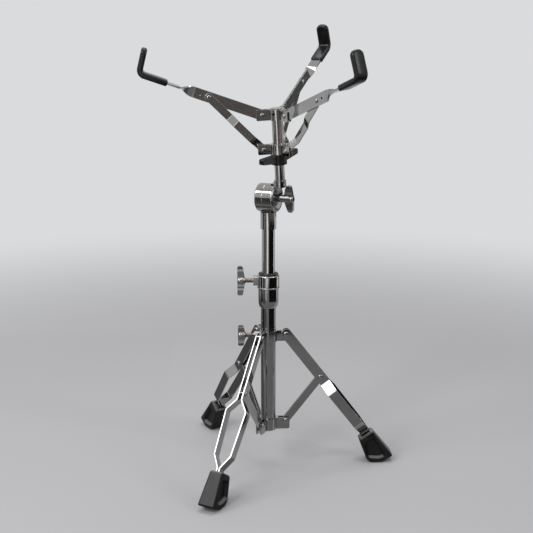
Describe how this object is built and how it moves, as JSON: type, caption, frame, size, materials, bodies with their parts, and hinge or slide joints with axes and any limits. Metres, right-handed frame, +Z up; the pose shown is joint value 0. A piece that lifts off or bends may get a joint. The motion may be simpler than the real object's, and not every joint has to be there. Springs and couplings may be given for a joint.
{
  "type": "snare drum stand",
  "caption": "Chromed snare drum stand: folding tripod of strip legs in rubber boots, telescoping column with wing-bolt clamp, tilter and a closing basket with sleeved grip arms.",
  "frame": {"origin": "floor level, under the middle of the bounding box", "axes": "+Z up along the column; +X along the right-hand leg as seen in the picture; +Y away from the camera"},
  "size_m": [0.4221, 0.4128, 0.7444],
  "materials": {
    "chromed_steel": "bright chrome plate",
    "chromed_casting": "chrome plate over a die casting",
    "black_rubber": "matte moulded rubber",
    "black_vinyl": "glossy dipped vinyl",
    "black_plastic": "satin moulded plastic",
    "black_nylon": "matte nylon"
  },
  "bodies": {
    "base": {"base_tube": "chromed_steel", "lower_collar": "chromed_steel", "brace_pivot_rivets": "chromed_steel", "height_clamp": "chromed_casting"},
    "leg_collar": {"leg_collar": "chromed_steel"},
    "leg_collar_wing_bolt": {"leg_collar_wing_bolt": "chromed_casting"},
    "height_wing_bolt": {"height_wing_bolt": "chromed_casting"},
    "height_bushing": {"height_bushing": "black_nylon"},
    "upper_tube": {"upper_tube": "chromed_steel", "tilter_base": "chromed_casting", "tilter_cap": "chromed_casting", "tilter_bolt": "chromed_steel"},
    "tilter_wing_nut": {"tilter_wing_nut": "chromed_casting"},
    "basket": {"tilter_head": "chromed_casting", "basket_rod": "chromed_steel", "upper_hub": "chromed_steel", "upper_hub_rivets": "chromed_steel"},
    "basket_nut": {"basket_nut": "black_plastic"},
    "lower_hub": {"lower_hub": "chromed_steel", "lower_hub_rivets": "chromed_steel"},
    "leg_right_brace": {"leg_right_brace": "chromed_steel"},
    "leg_right": {"leg_right_left_strip": "chromed_steel", "leg_right_right_strip": "chromed_steel", "leg_right_rivets": "chromed_steel", "leg_right_boot": "black_rubber"},
    "leg_back_brace": {"leg_back_brace": "chromed_steel"},
    "leg_back": {"leg_back_left_strip": "chromed_steel", "leg_back_right_strip": "chromed_steel", "leg_back_rivets": "chromed_steel", "leg_back_boot": "black_rubber"},
    "leg_front_brace": {"leg_front_brace": "chromed_steel"},
    "leg_front": {"leg_front_left_strip": "chromed_steel", "leg_front_right_strip": "chromed_steel", "leg_front_rivets": "chromed_steel", "leg_front_boot": "black_rubber"},
    "arm_left": {"arm_left": "chromed_steel", "arm_left_sleeve": "black_vinyl", "arm_left_rivet": "chromed_steel"},
    "strut_left": {"strut_left": "chromed_steel"},
    "arm_front": {"arm_front": "chromed_steel", "arm_front_sleeve": "black_vinyl", "arm_front_rivet": "chromed_steel"},
    "strut_front": {"strut_front": "chromed_steel"},
    "arm_back": {"arm_back": "chromed_steel", "arm_back_sleeve": "black_vinyl", "arm_back_rivet": "chromed_steel"},
    "strut_back": {"strut_back": "chromed_steel"}
  },
  "joints": [
    {"name": "leg_right_fold", "type": "hinge", "parent": "base", "child": "leg_right_brace", "pos_m": [0.024, 0.0114, 0.07815], "axis": [0, -1, 0], "range_deg": [0, 30.9]},
    {"name": "leg_right_knee", "type": "hinge", "parent": "leg_right_brace", "child": "leg_right", "pos_m": [0.08366, 0.0114, 0.15589], "axis": [0, -1, 0], "range_deg": [-61.8, 0]},
    {"name": "leg_back_fold", "type": "hinge", "parent": "base", "child": "leg_back_brace", "pos_m": [-0.021, 0.03738, 0.07815], "axis": [0.866, 0.5, 0], "range_deg": [0, 30.9]},
    {"name": "leg_back_knee", "type": "hinge", "parent": "leg_back_brace", "child": "leg_back", "pos_m": [-0.05083, 0.08905, 0.15589], "axis": [0.866, 0.5, 0], "range_deg": [-61.8, 0]},
    {"name": "leg_front_fold", "type": "hinge", "parent": "base", "child": "leg_front_brace", "pos_m": [-0.021, -0.01458, 0.07815], "axis": [-0.866, 0.5, 0], "range_deg": [0, 30.9]},
    {"name": "leg_front_knee", "type": "hinge", "parent": "leg_front_brace", "child": "leg_front", "pos_m": [-0.05083, -0.06625, 0.15589], "axis": [-0.866, 0.5, 0], "range_deg": [-61.8, 0]},
    {"name": "leg_collar_slide", "type": "slide", "parent": "base", "child": "leg_collar", "axis": [0, 0, 1], "range_m": [0, 0.03922]},
    {"name": "leg_collar_bolt_turn", "type": "hinge", "parent": "leg_collar", "child": "leg_collar_wing_bolt", "pos_m": [-0.0575, 0.0114, 0.23164], "axis": [-1, 0, 0], "continuous": true},
    {"name": "height_bolt_turn", "type": "hinge", "parent": "base", "child": "height_wing_bolt", "pos_m": [-0.058, 0.0114, 0.32694], "axis": [-1, 0, 0], "continuous": true},
    {"name": "column_swivel", "type": "hinge", "parent": "base", "child": "height_bushing", "pos_m": [-0.006, 0.0114, 0.33694], "axis": [0, 0, 1], "continuous": true},
    {"name": "height_slide", "type": "slide", "parent": "height_bushing", "child": "upper_tube", "axis": [0, 0, 1], "range_m": [-0.072, 0.11]},
    {"name": "tilter_nut_turn", "type": "hinge", "parent": "upper_tube", "child": "tilter_wing_nut", "pos_m": [0.02951, -0.00701, 0.46694], "axis": [0.8878, -0.4602, 0], "continuous": true},
    {"name": "basket_tilt", "type": "hinge", "parent": "upper_tube", "child": "basket", "pos_m": [-0.006, 0.0114, 0.46694], "axis": [0.8878, -0.4602, 0], "range_deg": [-96.95, 83.05]},
    {"name": "basket_nut_turn", "type": "hinge", "parent": "basket", "child": "basket_nut", "pos_m": [0.01002, -0.00616, 0.53435], "axis": [-0.0557, -0.1074, 0.9927], "continuous": true},
    {"name": "arm_left_fold", "type": "hinge", "parent": "basket", "child": "arm_left", "pos_m": [-0.01767, -0.01438, 0.60313], "axis": [-0.0326, 0.9939, 0.1057], "range_deg": [0, 55.5]},
    {"name": "strut_left_turn", "type": "hinge", "parent": "arm_left", "child": "strut_left", "pos_m": [-0.10129, -0.02018, 0.63182], "axis": [-0.0326, 0.9939, 0.1057], "range_deg": [-21.84, 0]},
    {"name": "arm_front_fold", "type": "hinge", "parent": "basket", "child": "arm_front", "pos_m": [0.01863, -0.03392, 0.60305], "axis": [-0.8479, -0.5199, -0.1038], "range_deg": [0, 55.5]},
    {"name": "strut_front_turn", "type": "hinge", "parent": "arm_front", "child": "strut_front", "pos_m": [0.05993, -0.10697, 0.63147], "axis": [-0.8479, -0.5199, -0.1038], "range_deg": [-21.84, 0]},
    {"name": "arm_back_fold", "type": "hinge", "parent": "basket", "child": "arm_back", "pos_m": [0.01728, 0.00705, 0.60741], "axis": [0.8805, -0.474, -0.0019], "range_deg": [0, 55.5]},
    {"name": "strut_back_turn", "type": "hinge", "parent": "arm_back", "child": "strut_back", "pos_m": [0.05396, 0.07501, 0.65083], "axis": [0.8805, -0.474, -0.0019], "range_deg": [-21.84, 0]},
    {"name": "lower_hub_slide", "type": "slide", "parent": "basket", "child": "lower_hub", "axis": [-0.0557, -0.1074, 0.9927], "range_m": [0, 0.02248]}
  ],
  "couplings": [
    {"joint": "leg_right_knee", "follows": "leg_right_fold", "ratio": -2},
    {"joint": "leg_back_fold", "follows": "leg_right_fold", "ratio": 1},
    {"joint": "leg_back_knee", "follows": "leg_right_fold", "ratio": -2},
    {"joint": "leg_front_fold", "follows": "leg_right_fold", "ratio": 1},
    {"joint": "leg_front_knee", "follows": "leg_right_fold", "ratio": -2},
    {"joint": "leg_collar_slide", "follows": "leg_right_fold", "m_per_rad": 0.072693},
    {"joint": "strut_left_turn", "follows": "arm_left_fold", "ratio": -0.39332},
    {"joint": "arm_front_fold", "follows": "arm_left_fold", "ratio": 1},
    {"joint": "strut_front_turn", "follows": "arm_left_fold", "ratio": -0.39332},
    {"joint": "arm_back_fold", "follows": "arm_left_fold", "ratio": 1},
    {"joint": "strut_back_turn", "follows": "arm_left_fold", "ratio": -0.39332},
    {"joint": "lower_hub_slide", "follows": "arm_left_fold", "m_per_rad": 0.023189}
  ]
}
